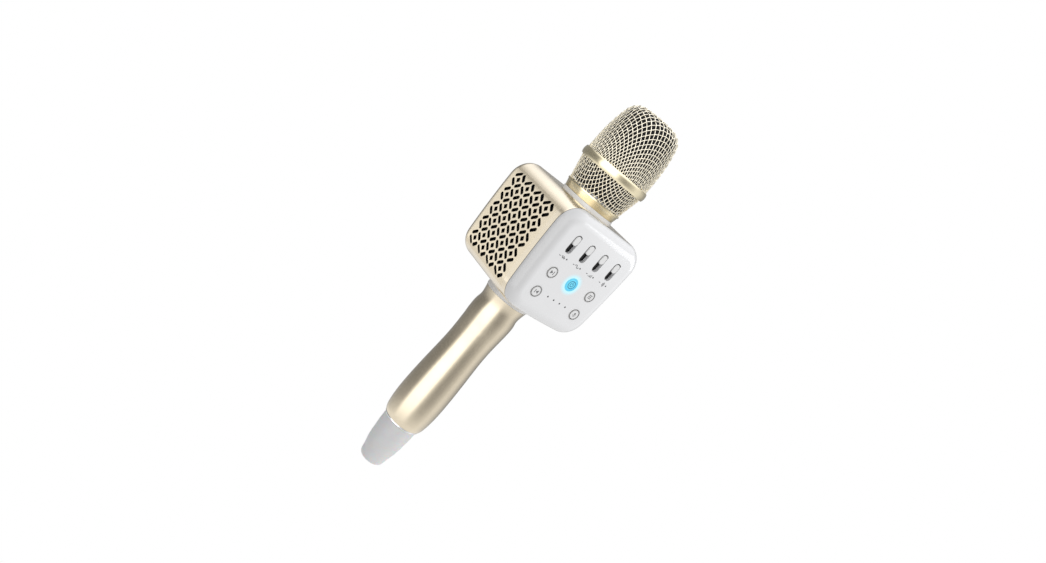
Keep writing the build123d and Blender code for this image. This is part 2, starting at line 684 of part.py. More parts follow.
def foam_windscreen():
    """Foam liner inside the mesh, hollow round the capsule."""
    inset = MESH_THICKNESS + 0.2
    skin, crown = dome_skin(inset)
    waist = 22.3 - 0.2
    foam = lathe(
        Line((0, 234), (19.3, 234)), Line((19.3, 234), (waist, BAND_BOTTOM)),
        Line((waist, BAND_BOTTOM), (waist, BAND_TOP)),
        Line((waist, BAND_TOP), (23.7 - inset, BAND_TOP)), skin, crown,
        Line((0, DOME_TOP - inset), (0, 234)),
    )
    cavity = fillet(disc(14.5, 220, 282).edges().group_by(Axis.Z)[-1], 6.0)
    return foam - cavity - disc(SPIGOT_RADIUS + GAP, 220, SPIGOT_TOP + GAP)


# ---- write every node -----------------------------------------------------------------

def write_all():
    """Build each piece once and write it under its own name."""
    outer_box = box_solid(0)
    hollow_box = outer_box - box_solid(WALL)
    lining = box_solid(WALL) - box_solid(WALL + 0.4)

    save(tail_cap(), "tail_cap")
    save(tail_trim_ring(), "tail_trim_ring")
    save(handle_tube(), "handle_tube")
    save(battery_cell(), "battery_cell")
    save(battery_sleeve(), "battery_sleeve")
    save(battery_contacts(), "battery_contacts")
    save(lower_collar(outer_box), "lower_collar")
    save(handle_mount_tube(), "handle_mount_tube")
    save(chassis_screws(), "chassis_screws")

    save(body_shell(hollow_box), "body_shell")
    save(back_cover(hollow_box), "back_cover")
    save(front_panel(hollow_box, outer_box), "front_panel")
    for side, sign in SIDES.items():
        save(side_grille(sign, hollow_box), f"side_grille_{side}")
        save(grille_cloth(sign, lining), f"grille_cloth_{side}")
        save(speaker_frame(sign), f"speaker_frame_{side}")
        save(speaker_magnet(sign), f"speaker_magnet_{side}")
        save(speaker_cone(sign), f"speaker_cone_{side}")
        save(speaker_surround(sign), f"speaker_surround_{side}")
    save(speaker_screws(), "speaker_screws")

    for number, x in enumerate(SLIDER_X, start=1):
        save(slider_knob(x), f"slider_knob_{number}")
        save(slide_pot(x), f"slide_pot_{number}")
    save(push_button(0, POWER_Z, POWER_RADIUS), "power_button")
    save(power_light_ring(), "power_light_ring")
    save(tact_switch(0, POWER_Z), "tact_switch_power")
    for side, sign in SIDES.items():
        for row, z in BUTTON_ROWS.items():
            save(push_button(sign * BUTTON_X, z, BUTTON_RADIUS), f"button_{row}_{side}")
            save(tact_switch(sign * BUTTON_X, z), f"tact_switch_{row}_{side}")
    save(indicator_light_pipe(), "indicator_light_pipe")
    save(control_board(), "control_board")
    save(board_components(), "board_components")
    save(board_screws(), "board_screws")

    save(port_board(), "port_board")
    for name, x in zip(("line_jack", "headphone_jack"), JACK_X):
        save(audio_jack(x), name)
    save(charge_socket(), "charge_socket")

    save(neck_collar(), "neck_collar")
    save(capsule_mount(), "capsule_mount")
    save(mic_capsule(), "mic_capsule")
    save(head_lower_ring(), "head_lower_ring")
    save(lower_grille(), "lower_grille")
    save(head_band(), "head_band")
    save(upper_grille(), "upper_grille")
    save(foam_windscreen(), "foam_windscreen")


write_all()
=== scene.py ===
import math

import bmesh
import bpy
from mathutils import Matrix, Vector, noise
from mathutils.bvhtree import BVHTree


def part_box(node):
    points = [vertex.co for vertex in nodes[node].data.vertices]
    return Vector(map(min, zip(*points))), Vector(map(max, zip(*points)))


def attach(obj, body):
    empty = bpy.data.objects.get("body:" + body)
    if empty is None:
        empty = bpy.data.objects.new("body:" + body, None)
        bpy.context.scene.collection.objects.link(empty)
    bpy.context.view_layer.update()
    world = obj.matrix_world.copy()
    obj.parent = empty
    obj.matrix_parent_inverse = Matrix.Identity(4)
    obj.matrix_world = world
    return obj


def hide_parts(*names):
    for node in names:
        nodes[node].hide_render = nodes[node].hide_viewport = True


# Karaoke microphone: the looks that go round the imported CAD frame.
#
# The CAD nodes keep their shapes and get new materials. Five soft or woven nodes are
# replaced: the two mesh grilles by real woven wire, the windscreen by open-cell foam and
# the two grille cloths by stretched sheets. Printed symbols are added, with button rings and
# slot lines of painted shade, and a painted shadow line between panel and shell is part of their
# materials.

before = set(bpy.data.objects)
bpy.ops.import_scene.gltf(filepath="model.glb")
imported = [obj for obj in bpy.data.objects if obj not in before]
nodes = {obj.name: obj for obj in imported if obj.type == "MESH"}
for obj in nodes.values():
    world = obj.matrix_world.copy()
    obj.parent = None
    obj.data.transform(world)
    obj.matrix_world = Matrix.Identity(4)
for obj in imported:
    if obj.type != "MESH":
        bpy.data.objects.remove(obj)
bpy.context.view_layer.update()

MM = 0.001


# ---- places taken from the CAD frame --------------------------------------------------

def middle(node):
    """Centre of a CAD node's box."""
    low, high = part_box(node)
    return (low + high) / 2


PANEL_FRONT_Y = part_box("front_panel")[0].y
SEAM_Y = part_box("body_shell")[0].y
POWER = middle("power_button")


# ---- material helpers -----------------------------------------------------------------

def node(tree, kind, inputs=None, **settings):
    """Add a shader node; an input is either a value or another node's socket."""
    made = tree.nodes.new(kind)
    for name, value in settings.items():
        setattr(made, name, value)
    for name, value in (inputs or {}).items():
        if isinstance(value, bpy.types.NodeSocket):
            tree.links.new(value, made.inputs[name])
        else:
            made.inputs[name].default_value = value
    return made


def math_node(tree, operation, a, b=0.0):
    """One Math node; returns its output socket."""
    return node(tree, "ShaderNodeMath", {0: a, 1: b}, operation=operation).outputs[0]


def ramp(tree, value, low, high, to_low=0.0, to_high=1.0, smooth=True):
    """Map a value from one range onto another, held at both ends."""
    made = node(
        tree, "ShaderNodeMapRange",
        {"Value": value, "From Min": low, "From Max": high, "To Min": to_low, "To Max": to_high},
        interpolation_type="SMOOTHSTEP" if smooth else "LINEAR",
    )
    return made.outputs["Result"]


def blend_colour(tree, factor, a, b):
    """Mix two colours by a factor socket."""
    made = node(tree, "ShaderNodeMix", {"Factor": factor}, data_type="RGBA")
    for name, value in (("A", a), ("B", b)):
        socket = [s for s in made.inputs if s.name == name and s.type == "RGBA"][0]
        if isinstance(value, bpy.types.NodeSocket):
            tree.links.new(value, socket)
        else:
            socket.default_value = (*value[:3], 1.0)
    return [s for s in made.outputs if s.type == "RGBA"][0]


def scaled(colour, by):
    """A colour made paler or darker."""
    return tuple(min(1.0, c * by) for c in colour)


def surface(name, colour, roughness, metallic=0.0, mottle=0.04, mottle_size=6.0, grain=0.0,
            grain_size=0.4, rough_spread=0.04, bevel=0.0, **sockets):
    """A painted or moulded surface: mottled colour, uneven gloss and a fine grain.

    Sizes are in millimetres; mottle and rough_spread are how far colour and gloss wander.
    """
    material = bpy.data.materials.new(name)
    material.use_nodes = True
    tree = material.node_tree
    shader = tree.nodes["Principled BSDF"]
    place = node(tree, "ShaderNodeTexCoord").outputs["Object"]

    broad = node(
        tree, "ShaderNodeTexNoise",
        {"Vector": place, "Scale": 1 / (mottle_size * MM), "Detail": 4.0, "Roughness": 0.6},
    ).outputs["Fac"]
    spread = ramp(tree, broad, 0.3, 0.7, smooth=False)
    tint = blend_colour(tree, spread, scaled(colour, 1 - mottle), scaled(colour, 1 + mottle))
    tree.links.new(tint, shader.inputs["Base Color"])

    fine = node(
        tree, "ShaderNodeTexNoise",
        {"Vector": place, "Scale": 1 / (grain_size * MM), "Detail": 2.0, "Roughness": 0.5},
    ).outputs["Fac"]
    gloss = ramp(
        tree, fine, 0.25, 0.75, roughness - rough_spread, roughness + rough_spread, smooth=False,
    )
    tree.links.new(gloss, shader.inputs["Roughness"])

    normal = None
    if bevel:
        normal = node(tree, "ShaderNodeBevel", {"Radius": bevel * MM}, samples=4).outputs["Normal"]
    if grain:
        bump = node(
            tree, "ShaderNodeBump",
            {"Height": fine, "Strength": 1.0, "Distance": grain * MM},
        )
        if normal:
            tree.links.new(normal, bump.inputs["Normal"])
        normal = bump.outputs["Normal"]
    if normal:
        tree.links.new(normal, shader.inputs["Normal"])

    shader.inputs["Metallic"].default_value = metallic
    for socket, value in sockets.items():
        shader.inputs[socket.replace("_", " ")].default_value = value
    return material


def repaint(material, factor_of, colour):
    """Lay a second colour over a material's own where a factor built from the place says so."""
    tree = material.node_tree
    shader = tree.nodes["Principled BSDF"]
    under = shader.inputs["Base Color"].links[0].from_socket
    place = node(tree, "ShaderNodeTexCoord").outputs["Object"]
    factor = factor_of(tree, place)
    tree.links.new(blend_colour(tree, factor, under, colour), shader.inputs["Base Color"])
    return factor


SEAM_DARK = 0.12 * MM         # half the width of the shadow line where it is full
SEAM_FADED = 0.28 * MM        # and where it has faded out


def seam_shadow_factor(tree, place):
    """One on the thin shadow line between the panel and the shell, none elsewhere."""
    y = node(tree, "ShaderNodeSeparateXYZ", {"Vector": place}).outputs["Y"]
    away = math_node(tree, "ABSOLUTE", math_node(tree, "SUBTRACT", y, SEAM_Y))
    return ramp(tree, away, SEAM_DARK, SEAM_FADED, 1.0, 0.0)


GLOW_FULL = 4.2 * MM          # distance from the button's centre where the glow is full
GLOW_GONE = 8.6 * MM


def glow_factor(tree, place):
    """Fades outwards from the lit power button across the panel."""
    away = node(
        tree, "ShaderNodeVectorMath", {0: place, 1: (POWER.x, PANEL_FRONT_Y, POWER.z)},
        operation="DISTANCE",
    ).outputs["Value"]
    return ramp(tree, away, GLOW_FULL, GLOW_GONE, 1.0, 0.0)


# near-black painted shade for the walls inside the pierced slots
SLOT_WALL_SHADE = (0.006, 0.006, 0.006)
WALL_FACING = 0.55            # share of X in the normal below which a face is a slot's wall
SKIN_FACING = 0.75


def shade_slot_walls(material):
    """Painted shade inside the slots: their sides are coloured near black and not metallic; only
    faces towards the outside keep the gold paint.
    """
    tree = material.node_tree
    shader = tree.nodes["Principled BSDF"]
    facing = node(tree, "ShaderNodeNewGeometry").outputs["True Normal"]
    across = node(tree, "ShaderNodeSeparateXYZ", {"Vector": facing}).outputs["X"]
    painted = ramp(tree, math_node(tree, "ABSOLUTE", across), WALL_FACING, SKIN_FACING)
    under = shader.inputs["Base Color"].links[0].from_socket
    colour = blend_colour(tree, painted, SLOT_WALL_SHADE, under)
    tree.links.new(colour, shader.inputs["Base Color"])
    tree.links.new(painted, shader.inputs["Metallic"])


def assign(objects, material):
    """Give objects one material, through their own slots."""
    for thing in objects:
        thing.data.materials.clear()
        thing.data.materials.append(material)


# ---- materials ------------------------------------------------------------------------

GOLD = (0.67, 0.585, 0.44)
GOLD_TRIM = (0.82, 0.73, 0.51)
WHITE = (0.77, 0.77, 0.775)
# dark colour of the painted shadow in the gap between panel and shell
SEAM_SHADOW_COLOUR = (0.10, 0.095, 0.085)
GLOW_TINT = (0.55, 0.86, 0.93)
GLOW_LIGHT = (0.03, 0.17, 0.22)

gold = surface(
    "gold_paint", GOLD, 0.25, metallic=1.0, mottle=0.03, mottle_size=9, grain=0.006,
    grain_size=0.22, rough_spread=0.05, Coat_Weight=0.6, Coat_Roughness=0.15, Coat_IOR=1.7,
)
gold_pierced = surface(
    "gold_paint_pierced", GOLD, 0.32, metallic=1.0, mottle=0.03, mottle_size=9, grain=0.006,
    grain_size=0.22, rough_spread=0.05, bevel=0.35,
)
gold_trim = surface(
    "gold_trim", GOLD_TRIM, 0.22, metallic=1.0, mottle=0.03, mottle_size=5, grain=0.004,
    grain_size=0.15, rough_spread=0.04, Coat_Weight=0.2, Coat_Roughness=0.1,
)
gold_wire = surface(
    "gold_wire", (0.90, 0.84, 0.69), 0.34, metallic=1.0, mottle=0.06, mottle_size=2.5,
    grain=0.01, grain_size=0.12, rough_spread=0.08,
)
white_panel = surface(
    "white_panel", WHITE, 0.24, mottle=0.012, mottle_size=14, grain=0.003, grain_size=0.5,
    rough_spread=0.03, Coat_Weight=0.35, Coat_Roughness=0.08, Specular_IOR_Level=0.5,
)
white_part = surface(
    "white_part", WHITE, 0.26, mottle=0.012, mottle_size=10, grain=0.003, grain_size=0.5,
    rough_spread=0.03, Coat_Weight=0.3, Coat_Roughness=0.08,
)
frosted = surface(
    "frosted_cap", (0.74, 0.74, 0.745), 0.42, mottle=0.02, mottle_size=7, grain=0.01,
    grain_size=0.25, rough_spread=0.06, Subsurface_Weight=0.3, Subsurface_Scale=2 * MM,
)
shade_slot_walls(gold_pierced)
# paint the shadow line of the panel-to-shell gap into both materials
for painted in (gold, white_panel):
    repaint(painted, seam_shadow_factor, SEAM_SHADOW_COLOUR)
glow = repaint(white_panel, glow_factor, GLOW_TINT)
panel_tree = white_panel.node_tree
panel_shader = panel_tree.nodes["Principled BSDF"]
panel_tree.links.new(
    blend_colour(panel_tree, glow, (0.0, 0.0, 0.0), GLOW_LIGHT),
    panel_shader.inputs["Emission Color"],
)
panel_shader.inputs["Emission Strength"].default_value = 1.0

SLOT_MATERIALS = {
    "gold_satin": gold,
    "gold_mesh": gold_wire,
    "white_gloss": white_part,
    "frosted_white": frosted,
    "chrome_trim": surface(
        "chrome_trim", (0.82, 0.82, 0.83), 0.12, metallic=1.0, mottle=0.02, mottle_size=3,
        grain=0.002, grain_size=0.2, rough_spread=0.04,
    ),
    "white_knob": surface(
        "white_knob", (0.86, 0.86, 0.86), 0.22, mottle=0.01, grain=0.002, rough_spread=0.03,
        Coat_Weight=0.4, Coat_Roughness=0.06,
    ),
    "lit_ring": surface(
        "lit_ring", (0.10, 0.45, 0.62), 0.3, mottle=0.08, mottle_size=1.0, grain=0.003,
        Emission_Color=(0.10, 0.45, 0.62, 1.0), Emission_Strength=0.55,
    ),
    "clear_pipe": surface(
        "clear_pipe", (0.07, 0.07, 0.07), 0.2, mottle=0.1, mottle_size=0.5, grain=0.002,
    ),
    "black_plastic": surface(
        "black_plastic", (0.022, 0.022, 0.023), 0.45, mottle=0.15, grain=0.01, grain_size=0.3,
    ),
    "circuit_board": surface(
        "circuit_board", (0.02, 0.11, 0.05), 0.35, mottle=0.25, mottle_size=1.5, grain=0.01,
    ),
    "steel": surface(
        "steel", (0.55, 0.55, 0.57), 0.3, metallic=1.0, mottle=0.06, mottle_size=1.5, grain=0.006,
    ),
    "magnet": surface(
        "magnet", (0.09, 0.09, 0.1), 0.55, metallic=0.6, mottle=0.2, mottle_size=1.0, grain=0.03,
    ),
    "paper_cone": surface(
        "paper_cone", (0.035, 0.035, 0.037), 0.75, mottle=0.25, mottle_size=1.2, grain=0.04,
    ),
    "rubber": surface(
        "rubber", (0.03, 0.03, 0.03), 0.6, mottle=0.15, mottle_size=2.0, grain=0.02,
    ),
    "cell_wrap": surface(
        "cell_wrap", (0.04, 0.16, 0.30), 0.3, mottle=0.05, mottle_size=8, grain=0.004,
        Coat_Weight=0.3,
    ),
    "capsule_metal": surface(
        "capsule_metal", (0.62, 0.60, 0.55), 0.28, metallic=1.0, mottle=0.05, grain=0.006,
    ),
}


PORE_SIZE = 0.7 * MM
PORE_DEPTH = 0.25 * MM
THREAD_SCALE = 3.14 / (math.tau * 0.5 * MM)   # of the wave textures that draw the threads
THREAD_RISE = 0.12 * MM


def foam_material():
    """Black open-cell foam: dark pores between slightly paler struts."""
    material = surface("open_cell_foam", (0.010, 0.010, 0.011), 0.95, mottle=0.3, mottle_size=1.5)
    tree = material.node_tree
    place = node(tree, "ShaderNodeTexCoord").outputs["Object"]
    cells = node(
        tree, "ShaderNodeTexVoronoi", {"Vector": place, "Scale": 1 / PORE_SIZE},
        feature="DISTANCE_TO_EDGE",
    ).outputs["Distance"]
    bump = node(tree, "ShaderNodeBump", {"Height": cells, "Distance": PORE_DEPTH}, invert=True)
    tree.links.new(bump.outputs["Normal"], tree.nodes["Principled BSDF"].inputs["Normal"])
    return material


def cloth_material():
    """Black acoustic cloth with a plain weave."""
    material = surface("acoustic_cloth", (0.012, 0.012, 0.013), 0.9, mottle=0.2, mottle_size=2.0)
    tree = material.node_tree
    place = node(tree, "ShaderNodeTexCoord").outputs["Object"]
    threads = [
        node(
            tree, "ShaderNodeTexWave", {"Vector": place, "Scale": THREAD_SCALE},
            bands_direction=direction,
        ).outputs["Fac"]
        for direction in ("Y", "Z")
    ]
    weave = math_node(tree, "MAXIMUM", *threads)
    bump = node(tree, "ShaderNodeBump", {"Height": weave, "Distance": THREAD_RISE})
    tree.links.new(bump.outputs["Normal"], tree.nodes["Principled BSDF"].inputs["Normal"])
    return material


SLOT_MATERIALS["foam"] = foam_material()
SLOT_MATERIALS["cloth"] = cloth_material()

for name, thing in nodes.items():
    slot_name = thing.data.materials[0].name.split(".")[0] if thing.data.materials else ""
    assign([thing], SLOT_MATERIALS.get(slot_name, SLOT_MATERIALS["black_plastic"]))

assign([nodes["side_grille_left"], nodes["side_grille_right"]], gold_pierced)
assign([nodes["front_panel"]], white_panel)
assign([nodes["head_lower_ring"], nodes["head_band"]], gold_trim)


# ---- mesh helpers ---------------------------------------------------------------------

def add_piece(name, mesh, material, body):
    """Put a finished mesh into the scene with its material, riding on a body."""
    thing = bpy.data.objects.new(name, mesh)
    bpy.context.scene.collection.objects.link(thing)
    mesh.materials.append(material)
    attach(thing, body)
    return thing


def piece(name, verts, faces, material, body):
    """New smooth piece from points and faces."""
    mesh = bpy.data.meshes.new(name)
    mesh.from_pydata([tuple(v) for v in verts], [], faces)
    mesh.validate()
    for face in mesh.polygons:
        face.use_smooth = True
    return add_piece(name, mesh, material, body)


LOWEST_SHARE = 0.8            # below its widest point a line ends where it narrows to this


def outer_profile(name):
    """A turned node's outer line as (radius, height) points, from its top's centre down."""
    points = {
        (round(math.hypot(v.co.x, v.co.y), 6), round(v.co.z, 6))
        for v in nodes[name].data.vertices
    }
    points = sorted(points, key=lambda p: (-p[1], p[0]))
    line = []
    for p in points:
        while len(line) > 1:
            (ar, az), (br, bz) = line[-2], line[-1]
            if (br - ar) * (p[1] - az) - (bz - az) * (p[0] - ar) >= 0:
                line.pop()
            else:
                break
        line.append(p)
    widest = max(range(len(line)), key=lambda i: (line[i][0], -line[i][1]))
    least = line[widest][0] * LOWEST_SHARE
    line = line[:widest + 1] + [p for p in line[widest + 1:] if p[0] > least]
    return [(0.0, line[0][1])] + line if line[0][0] > 0 else line


def resample(line, step):
    """The same polyline with points a fixed step apart."""
    dense = [Vector((*p, 0)) for p in line]
    out = [dense[0]]
    travelled = 0.0
    for a, b in zip(dense, dense[1:]):
        length = (b - a).length
        while travelled + length >= step and length > 0:
            a = a.lerp(b, (step - travelled) / length)
            out.append(a)
            length = (b - a).length
            travelled = 0.0
        travelled += length
    if (out[-1] - dense[-1]).length > step / 4:
        out.append(dense[-1])
    return [(p.x, p.y) for p in out]


# ---- woven wire -----------------------------------------------------------------------

WIRE_WIDTH = 0.56 * MM
WIRE_THICK = 0.46 * MM
WEAVE = 0.235 * MM            # how far a wire rises and falls as it crosses the others
MESH_MIDDLE = 0.5 * MM        # depth of the weave's middle below the outer skin
WIRE_SIDES = 8
STEPS_PER_CROSSING = 4
DIAGONAL_AZIMUTH = math.radians(-138.0)
TUCK = 0.9 * MM               # how far the wires reach into the gold rings
SHORTEST_WIRE = 1.5 * MM
DRAPE_STEP = 0.25 * MM
SLOPE_REACH = 3               # steps to each side over which the form's slope is taken


class Drape:
    """A flat square wire mesh drawn over a turned form.

    A flat point at distance rho from the mesh's middle lands at the arc length where the
    running sum of the cell lengths reaches rho; its direction stays as it is.
    """

    def __init__(self, line, cells, first_rho):
        self.line = resample(line, DRAPE_STEP)
        self.rho = [first_rho]
        travelled = 0.0
        for a, b in zip(self.line, self.line[1:]):
            step = math.dist(a, b)
            travelled += step
            self.rho.append(self.rho[-1] + step / self.cell_length(cells, travelled))

    @staticmethod
    def cell_length(cells, at):
        """Length of a cell at an arc length, read off pairs of (arc, length)."""
        for (a, la), (b, lb) in zip(cells, cells[1:]):
            if at <= b:
                return la + (lb - la) * (at - a) / (b - a)
        return cells[-1][1]

    def limits(self):
        """Flat distances from the middle where the form starts and ends."""
        return self.rho[0], self.rho[-1]

    def at(self, x, y):
        """Point and outward direction on the form for a flat point."""
        rho = math.hypot(x, y)
        low, high = 0, len(self.rho) - 1
        while high - low > 1:
            half = (low + high) // 2
            if self.rho[half] <= rho:
                low = half
            else:
                high = half
        share = (rho - self.rho[low]) / (self.rho[high] - self.rho[low])
        (ra, za), (rb, zb) = self.line[low], self.line[high]
        before = self.line[max(low - SLOPE_REACH, 0)]
        after = self.line[min(high + SLOPE_REACH, len(self.line) - 1)]
        along = Vector((after[0] - before[0], 0, after[1] - before[1])).normalized()
        out = Vector((-along.z, 0, along.x))
        turn = Matrix.Rotation(math.atan2(y, x) + DIAGONAL_AZIMUTH, 3, "Z")
        point = Vector((ra + (rb - ra) * share, 0, za + (zb - za) * share))
        return turn @ (point - out * MESH_MIDDLE), turn @ out


def spans(line_number, low, high):
    """Stretches of one straight wire that lie between two distances from the middle."""
    far = 2 * high ** 2 - line_number ** 2
    near = 2 * low ** 2 - line_number ** 2
    if far <= 0:
        return []
    if near <= 0:
        return [(-math.sqrt(far), math.sqrt(far))]
    return [(-math.sqrt(far), -math.sqrt(near)), (math.sqrt(near), math.sqrt(far))]


def woven_mesh(name, drape, body):
    """Two families of flattened wires that pass over and under each other."""
    verts, faces = [], []
    low, high = drape.limits()
    reach = int(high * math.sqrt(2)) + 1
    circle = [math.tau * i / WIRE_SIDES for i in range(WIRE_SIDES)]
    for family in (1, -1):
        for number in range(-reach, reach + 1):
            wire = number + 0.5
            for start, end in spans(wire, low, high):
                count = max(2, round((end - start) * STEPS_PER_CROSSING))
                points = []
                for i in range(count + 1):
                    t = start + (end - start) * i / count
                    x = (wire + t) / 2
                    y = family * (wire - t) / 2
                    place, out = drape.at(x, y)
                    lift = family * WEAVE * math.cos(math.pi * (t - 0.5)) * (-1) ** number
                    points.append((place + out * lift, out))
                if sum((a[0] - b[0]).length for a, b in zip(points, points[1:])) < SHORTEST_WIRE:
                    continue
                base = len(verts)
                for i, (place, out) in enumerate(points):
                    ahead = points[min(i + 1, count)][0] - points[max(i - 1, 0)][0]
                    side = ahead.cross(out).normalized()
                    up = side.cross(ahead).normalized()
                    for angle in circle:
                        verts.append(
                            place + side * (WIRE_WIDTH / 2 * math.cos(angle))
                            + up * (WIRE_THICK / 2 * math.sin(angle))
                        )
                for i in range(count):
                    for j in range(WIRE_SIDES):
                        k = (j + 1) % WIRE_SIDES
                        a, b = base + i * WIRE_SIDES, base + (i + 1) * WIRE_SIDES
                        faces.append((a + j, a + k, b + k, b + j))
                first = [base + j for j in range(WIRE_SIDES)]
                faces.append(first[::-1])
                faces.append([v + count * WIRE_SIDES for v in first])
    return piece(name, verts, faces, gold_wire, body)


dome_line = outer_profile("upper_grille")
dome_line.append((dome_line[-1][0], dome_line[-1][1] - TUCK))
DOME_CELLS = [(0, 4.2 * MM), (20 * MM, 4.3 * MM), (28 * MM, 4.8 * MM), (38 * MM, 4.7 * MM),
              (53 * MM, 4.0 * MM), (68 * MM, 3.6 * MM)]
dome_mesh = woven_mesh("woven_dome", Drape(dome_line, DOME_CELLS, 0.0), "head")
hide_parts("upper_grille")

cone_low, cone_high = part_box("lower_grille")
CONE_LOW_RADIUS = 20.2 * MM
LOW_TUCK_NARROWS = 0.2 * MM
HIGH_TUCK_WIDENS = 0.1 * MM
CONE_FIRST_RHO = 5.7          # cells between the flat mesh's middle and the cone's lower edge
cone_line = [
    (CONE_LOW_RADIUS - LOW_TUCK_NARROWS, cone_low.z - TUCK), (CONE_LOW_RADIUS, cone_low.z),
    (cone_high.x, cone_high.z), (cone_high.x + HIGH_TUCK_WIDENS, cone_high.z + TUCK),
]


class UpwardDrape(Drape):
    """The same weave drawn upwards, so that outwards is on the other hand."""

    def at(self, x, y):
        """The same as a Drape's, with the outward side turned over."""
        place, out = super().at(x, y)
        return place + out * (2 * MESH_MIDDLE), -out


CONE_CELLS = [(0, 4.5 * MM), (18 * MM, 3.9 * MM)]
cone_mesh = woven_mesh("woven_cone", UpwardDrape(cone_line, CONE_CELLS, CONE_FIRST_RHO), "head")
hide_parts("lower_grille")


# ---- foam windscreen ------------------------------------------------------------------

FOAM_TURNS = 120
FOAM_STEP = 1.1 * MM
FOAM_LUMP = 0.16 * MM         # how far the foam's skin wanders
LUMP_SIZE = 1.3 * MM
LUMP_BIAS = 0.4               # moves the skin mostly towards the axis
ON_AXIS = 1e-6


def lathe_piece(name, line, turns, material, body):
    """Turned piece with a lumpy skin from a closed (radius, height) line."""
    verts, faces, rings = [], [], []
    for r, z in line:
        if r < ON_AXIS:
            rings.append([len(verts)])
            verts.append(Vector((0, 0, z)))
            continue
        first = len(verts)
        for i in range(turns):
            angle = math.tau * i / turns
            place = Vector((r * math.cos(angle), r * math.sin(angle), z))
            shift = (noise.noise(place / LUMP_SIZE) - LUMP_BIAS) * FOAM_LUMP
            verts.append(place + Vector((math.cos(angle), math.sin(angle), 0)) * shift)
        rings.append(list(range(first, first + turns)))
    for a, b in zip(rings, rings[1:] + rings[:1]):
        for i in range(turns):
            k = (i + 1) % turns
            face = [a[i % len(a)], a[k % len(a)], b[k % len(b)], b[i % len(b)]]
            face = list(dict.fromkeys(face))
            if len(face) > 2:
                faces.append(face)
    return piece(name, verts, faces, material, body)


FOAM_INSET = 0.25 * MM        # room left to the wires at the side
FOAM_TOP_INSET = 0.1 * MM
FOAM_BORE = 14.5 * MM
FOAM_FOOT = 19.0 * MM
FOAM_CEILING = 282 * MM
SPIGOT_CLEAR = 16.7 * MM
SPIGOT_TOP = 235.3 * MM
foam_line = [
    (r - FOAM_INSET if r > 1 * MM else 0.0, z - FOAM_TOP_INSET)
    for r, z in outer_profile("foam_windscreen")
]
foam_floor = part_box("foam_windscreen")[0].z
foam_outside = [p for p in resample(foam_line, FOAM_STEP) if p[1] > foam_floor]
foam_inside = [
    (FOAM_FOOT, foam_floor), (SPIGOT_CLEAR, foam_floor), (SPIGOT_CLEAR, SPIGOT_TOP),
    (FOAM_BORE, SPIGOT_TOP),
    (FOAM_BORE, FOAM_CEILING - 6 * MM), (12.7 * MM, FOAM_CEILING - 1.8 * MM),
    (8.5 * MM, FOAM_CEILING), (0.0, FOAM_CEILING),
]
foam_piece = lathe_piece(
    "foam_ball", foam_outside + resample(foam_inside, FOAM_STEP * 2), FOAM_TURNS,
    SLOT_MATERIALS["foam"], "head",
)
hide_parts("foam_windscreen")


# ---- grille cloth ---------------------------------------------------------------------

CLOTH_CELLS = 30
CLOTH_MARGIN = 0.4 * MM
CLOTH_INSET = 0.1 * MM
OUTSIDE_X = 60 * MM           # clear of the box, where the search for the cloth starts
SKIN_X = 38 * MM


def stretched_cloth(side, sign):
    """Sheet of acoustic cloth laid on the CAD cloth's outer face."""
    source = nodes[f"grille_cloth_{side}"]
    tree = BVHTree.FromPolygons(
        [v.co for v in source.data.vertices], [p.vertices for p in source.data.polygons],
    )
    low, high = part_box(source.name)
    verts, faces = [], []
    for j in range(CLOTH_CELLS + 1):
        for i in range(CLOTH_CELLS + 1):
            y = low.y + CLOTH_MARGIN + (high.y - low.y - 2 * CLOTH_MARGIN) * i / CLOTH_CELLS
            z = low.z + CLOTH_MARGIN + (high.z - low.z - 2 * CLOTH_MARGIN) * j / CLOTH_CELLS
            hit = tree.ray_cast(Vector((sign * OUTSIDE_X, y, z)), Vector((-sign, 0, 0)))[0]
            if hit is None:
                hit = tree.find_nearest(Vector((sign * SKIN_X, y, z)))[0]
            verts.append(hit - Vector((sign * CLOTH_INSET, 0, 0)))
    row = CLOTH_CELLS + 1
    for j in range(CLOTH_CELLS):
        for i in range(CLOTH_CELLS):
            face = (j * row + i, j * row + i + 1, (j + 1) * row + i + 1, (j + 1) * row + i)
            faces.append(face if sign > 0 else face[::-1])
    sheet = piece(
        f"stretched_cloth_{side}", verts, faces, SLOT_MATERIALS["cloth"], "microphone",
    )
    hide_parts(source.name)


stretched_cloth("left", -1)
stretched_cloth("right", 1)


# ---- symbols --------------------------------------------------------------------------

ink = surface("grey_ink", (0.16, 0.16, 0.165), 0.5, mottle=0.1, mottle_size=0.6, grain=0.002)
cyan_disc = surface(
    "cyan_disc", (0.10, 0.48, 0.62), 0.28, mottle=0.05, mottle_size=1.0, grain=0.002,
    Emission_Color=(0.14, 0.55, 0.68, 1.0), Emission_Strength=0.62,
)
cyan_dark = surface(
    "cyan_symbol", (0.03, 0.22, 0.38), 0.35, mottle=0.08, mottle_size=0.6, grain=0.002,
    Emission_Color=(0.03, 0.25, 0.42, 1.0), Emission_Strength=0.25,
)


def arc_band(cx, cz, inner, outer, start=0.0, end=360.0, parts=40):
    """Ring or part of a ring as quads in the front view; angles in degrees from +X."""
    quads = []
    step = (end - start) / parts
    for i in range(parts):
        corners = []
        for radius, angle in ((inner, i), (outer, i), (outer, i + 1), (inner, i + 1)):
            a = math.radians(start + step * angle)
            corners.append((cx + radius * math.cos(a), cz + radius * math.sin(a)))
        quads.append(corners)
    return quads


